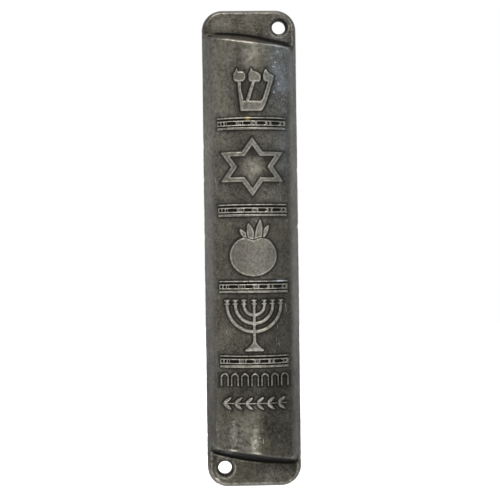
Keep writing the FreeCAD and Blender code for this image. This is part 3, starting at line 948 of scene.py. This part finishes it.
def antiqued_metal():
    """Grey cast metal under its patina, laid on layer by layer from the stored wear and painted light and
    shade.

    Noise scales are counts per metre.
    """
    n = Nodes("antiqued_metal")
    mottle = n.noise(1100.0, 6.0, 0.62)
    cloud = n.noise(210.0, 4.0, 0.6)
    broad = n.noise(75.0, 3.0, 0.55)
    grain = n.noise(4200.0, 3.0, 0.6)
    hairline = n.noise(1500.0, 2.0, 0.5, stretch=(1.0, 1.0, 0.16), distortion=1.2)
    half_cloud = n.times(n.spread(cloud, 0.34, 0.68), 0.5)
    patches = n.plus(half_cloud, n.times(n.spread(mottle, 0.33, 0.70), 0.5))
    fine = n.noise(2300.0, 4.0, 0.65)
    patches = n.plus(n.times(patches, 0.6), n.times(n.spread(fine, 0.36, 0.64), 0.4))
    base = n.mix(patches, grey(0.015), grey(0.148, 0.06))
    base = n.mix(n.spread(broad, 0.45, 0.7, 0.0, 0.5), base, OLIVE_FILM)
    # painted shade round the ornaments and on the lower end face
    base = n.mix(n.times(n.attribute("shade"), 0.68), base, n.mix(fine, grey(0.008), grey(0.028)))
    wall_tone = n.mix(patches, grey(0.018, 0.09), grey(0.080, 0.08))
    base = n.mix(n.times(n.attribute("wall"), 0.85), base, wall_tone)
    # painted shade over the lower right, the walls and beside the joints, and darker patches on the tabs
    base = n.mix(n.times(n.attribute("shade_and_dark_patches"), 0.8), base, n.mix(patches, grey(0.003), grey(0.038)))
    green = n.times(n.attribute("verdigris"), n.spread(cloud, 0.42, 0.62, 0.0, 0.55))
    base = n.mix(green, base, VERDIGRIS)
    # bare metal on the crown, partly wear and partly painted highlight, and painted light on the upper left
    rubbed_and_lit = n.times(n.attribute("rubbed_and_lit"), n.spread(mottle, 0.34, 0.66, 0.25, 1.0))
    base = n.mix(rubbed_and_lit, base, grey(0.26, 0.05))
    raised_grain = n.plus(n.times(mottle, 0.35), n.times(fine, 0.65))
    raised = n.mix(n.spread(raised_grain, 0.36, 0.64), grey(0.078, 0.05), grey(0.158, 0.05))
    raised = n.mix(n.spread(fine, 0.55, 0.7, 0.0, 0.4), raised, grey(0.075, 0.06))
    base = n.mix(n.times(n.attribute("relief"), 0.9), base, raised)
    # polished edges and painted highlights, with scratches
    worn_and_highlit = n.times(n.attribute("polish_and_highlight"), n.spread(mottle, 0.36, 0.60, 0.25, 1.0))
    scratch = n.times(n.spread(hairline, 0.69, 0.74), n.spread(cloud, 0.45, 0.6, 0.0, 0.45))
    worn_and_highlit = n.math("MAXIMUM", worn_and_highlit, scratch)
    base = n.mix(worn_and_highlit, base, grey(0.42, 0.04))
    # painted cool reflection
    cool = n.times(n.attribute("cool"), n.spread(cloud, 0.3, 0.65, 0.35, 0.8))
    base = n.mix(cool, base, n.mix(patches, COOL_DARK, COOL_LIGHT))
    speck = n.times(n.attribute("specks"), n.spread(n.noise(1900.0, 3.0, 0.6), 0.61, 0.69))
    base = n.mix(speck, base, BRIGHT_SPECK)
    catch = n.spread(mottle, 0.34, 0.55, 0.3, 1.0)
    base = n.mix(n.times(n.attribute("glint"), catch), base, WARM_GLINT)
    base = n.mix(n.times(n.attribute("cool_glint"), catch), base, COOL_GLINT)
    # patina round the ornaments and in the joint, with painted shade over the upper end face and a painted
    # shadow in the countersinks
    base = n.mix(n.times(n.attribute("halo"), 0.96), base, grey(0.005))
    # painted shade on the downward-facing lower end face
    base = n.mix(n.times(n.attribute("low_end"), 0.92), base, LOW_END_FACE)
    base = n.mix(n.times(n.attribute("brassy"), 0.85), base, BRASS)
    inside = n.math("SUBTRACT", 1.0, n.attribute("front"))
    base = n.mix(inside, base, n.mix(patches, grey(0.035, 0.03), grey(0.135, 0.03)))
    rough = n.plus(n.spread(patches, 0.0, 1.0, 0.56, 0.43), n.times(worn_and_highlit, -0.12))
    rim_tint = n.mix(n.attribute("edge"), WHITE, EDGE_TINT)
    n.set(Base_Color=base, Roughness=rough, Metallic=0.9, Specular_Tint=rim_tint)
    relief = n.plus(n.times(grain, 0.4), n.times(fine, 1.0))
    n.bump(relief, 0.5, 0.07 * MM)
    return n.material


def cover_plastic():
    n = Nodes("cover_plastic")
    grain = n.noise(3800.0, 2.0, 0.5)
    haze = n.noise(60.0, 3.0, 0.5)
    scuff = n.spread(n.noise(420.0, 3.0, 0.6, stretch=(1.0, 1.0, 0.07), distortion=0.8), 0.62, 0.72)
    tone = n.mix(haze, grey(0.012, 0.01), grey(0.024, 0.01))
    n.set(
        Base_Color=n.mix(n.times(scuff, 0.5), tone, grey(0.060, 0.01)),
        Roughness=n.plus(n.spread(grain, 0.3, 0.7, 0.36, 0.52), n.times(scuff, 0.15)),
    )
    n.bump(grain, 0.3, 0.04 * MM)
    return n.material


PARCHMENT_DARK, PARCHMENT_LIGHT = (0.62, 0.48, 0.29, 1.0), (0.76, 0.65, 0.45, 1.0)
PARCHMENT_STREAK = (0.50, 0.37, 0.21, 1.0)


def parchment():
    n = Nodes("parchment")
    fibre = n.noise(700.0, 5.0, 0.65, stretch=(1.0, 1.0, 0.12))
    cloud = n.noise(110.0, 3.0, 0.5)
    tone = n.mix(cloud, PARCHMENT_DARK, PARCHMENT_LIGHT)
    streaked = n.mix(n.spread(fibre, 0.4, 0.75, 0.0, 0.35), tone, PARCHMENT_STREAK)
    n.set(Base_Color=streaked, Roughness=0.72)
    n.bump(fibre, 0.25, 0.05 * MM)
    return n.material


FILM_TINT, TAPE_TINT = (0.9, 0.92, 0.93, 1.0), (0.9, 0.88, 0.8, 1.0)


def clear_film(name, tint, alpha, rough):
    n = Nodes(name)
    ripple = n.noise(160.0, 2.0, 0.5, stretch=(1.0, 1.0, 0.3))
    n.set(
        Base_Color=n.mix(ripple, tint, (0.95, 0.95, 0.95, 1.0)),
        Alpha=n.spread(ripple, 0.3, 0.7, alpha * 0.85, alpha * 1.15),
        Roughness=rough,
    )
    n.bump(ripple, 0.3, 0.1 * MM)
    return n.material


def paint(obj, material):
    obj.data.materials.clear()
    obj.data.materials.append(material)


SHARP_ANGLE = math.radians(62)


def add_casting():
    casting = make_casting()
    mesh = casting.data
    mesh.polygons.foreach_set("use_smooth", [True] * len(mesh.polygons))
    mesh.set_sharp_from_angle(angle=SHARP_ANGLE)
    store_wear_and_light(mesh)
    paint(casting, antiqued_metal())
    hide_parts("case_shell")
    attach(casting, "case")


def dress_cad_nodes():
    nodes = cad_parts
    finishes = (
        ("back_cover", cover_plastic(), "cover_plastic"),
        ("parchment_scroll", parchment(), "parchment"),
        ("scroll_sleeve", clear_film("clear_film", FILM_TINT, 0.22, 0.12), "clear_film"),
        ("sleeve_tape", clear_film("clear_tape", TAPE_TINT, 0.35, 0.3), "clear_tape"),
    )
    for name, material, slot in finishes:
        paint(nodes[name], material)


# ---- surroundings: floor, light and camera ----
WORLD_FRONT = 0.42  # the room's brightness on the camera's side


def add_floor():
    size, below = 0.9, 0.012
    z = case_low.z - below
    corners = [(-size, -size, z), (size, -size, z), (size, size, z), (-size, size, z)]
    floor = mesh_object("floor", corners, [(0, 1, 2, 3)])
    n = Nodes("floor")
    n.set(Base_Color=(0.9, 0.9, 0.9, 1.0), Roughness=0.9)
    n.set(Emission_Color=WHITE, Emission_Strength=0.55)
    floor.data.materials.append(n.material)


def add_world():
    """White behind the object, darker on the camera's side, as in a room with a white backdrop."""
    world = bpy.data.worlds.new("studio")
    bpy.context.scene.world = world
    world.use_nodes = True
    tree = world.node_tree
    background = next(n for n in tree.nodes if n.type == "BACKGROUND")
    place = tree.nodes.new("ShaderNodeTexCoord")
    split = tree.nodes.new("ShaderNodeSeparateXYZ")
    tree.links.new(place.outputs["Generated"], split.inputs[0])

    def glow(axis, start, end, low, high):
        node = tree.nodes.new("ShaderNodeMapRange")
        node.interpolation_type = "SMOOTHSTEP"
        tree.links.new(split.outputs[axis], node.inputs["Value"])
        for key, value in (("From Min", start), ("From Max", end), ("To Min", low), ("To Max", high)):
            node.inputs[key].default_value = value
        return node.outputs["Result"]

    strength = glow("Y", -0.1, 0.95, WORLD_FRONT, 1.0)
    for part in (glow("X", -0.25, -1.0, 0.0, 0.38), glow("Z", 0.3, 1.0, 0.0, 0.12)):
        add = tree.nodes.new("ShaderNodeMath")
        add.operation = "ADD"
        tree.links.new(strength, add.inputs[0])
        tree.links.new(part, add.inputs[1])
        strength = add.outputs["Value"]
    tree.links.new(strength, background.inputs["Strength"])
    background.inputs["Color"].default_value = WHITE


def add_light(name, where, size, power, colour):
    light = bpy.data.lights.new(name, "AREA")
    light.shape, light.size, light.size_y = "RECTANGLE", size[0], size[1]
    light.energy, light.color = power, colour
    obj = new_object(name, light)
    obj.location = where
    obj.rotation_mode = "QUATERNION"
    obj.rotation_quaternion = Vector(where).to_track_quat("Z", "Y")


def add_camera():
    distance, offset = 0.340, -0.013  # from the wall plane, and left of the case's middle
    lean = math.radians(0.767)
    field = 0.1263  # width of the view at the wall plane
    aim = Vector((-0.0004, 0.0, -0.0004))
    camera = bpy.data.cameras.new("camera")
    obj = new_object("camera", camera)
    where = Vector((offset, -distance, 0.0))
    towards = aim - where
    turn = towards.to_track_quat("-Z", "Y").to_matrix().to_4x4()
    obj.matrix_world = Matrix.Translation(where) @ turn @ Matrix.Rotation(-lean, 4, "Z")
    camera.lens = camera.sensor_width * towards.length / field
    camera.clip_start, camera.clip_end = 0.01, 10.0
    bpy.context.scene.camera = obj


add_casting()
dress_cad_nodes()
add_floor()
add_world()
add_light("key", (-0.10, -0.26, 0.62), (0.34, 0.22), 4.0, (1.0, 0.96, 0.90))
add_light("strip", (0.17, -0.72, 0.0), (0.12, 0.90), 2.4, (1.0, 0.98, 0.95))
add_light("window", (0.55, -0.30, 0.34), (0.16, 0.30), 1.2, (0.78, 0.89, 1.0))
add_camera()
bpy.context.scene.view_settings.view_transform = "Standard"
